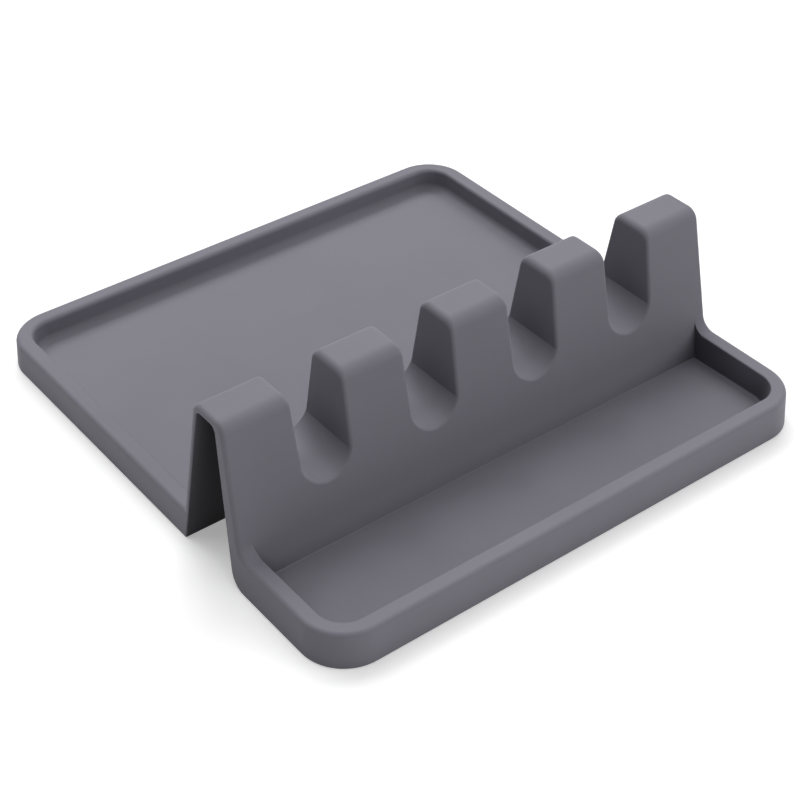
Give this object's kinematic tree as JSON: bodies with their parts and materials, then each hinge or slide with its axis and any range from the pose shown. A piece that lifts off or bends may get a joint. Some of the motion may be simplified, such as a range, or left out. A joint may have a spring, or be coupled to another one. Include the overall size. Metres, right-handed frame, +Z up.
{
  "type": "spoon rest",
  "caption": "Free-standing soft silicone spoon rest: a deep tray and a shallow tray joined by a hollow upright rack whose round-bottomed slots hold utensil handles.",
  "frame": {"origin": "centre of the footprint, on the table the rest stands on", "axes": "+X along the rack, +Y towards the deep rear tray, +Z up"},
  "size_m": [0.2, 0.204, 0.0585],
  "materials": {
    "silicone": "matte"
  },
  "bodies": {
    "root": {"rear_tray": "silicone", "rack_rear_wall": "silicone", "rack_crown": "silicone", "rack_front_wall": "silicone", "front_tray": "silicone"}
  },
  "joints": []
}
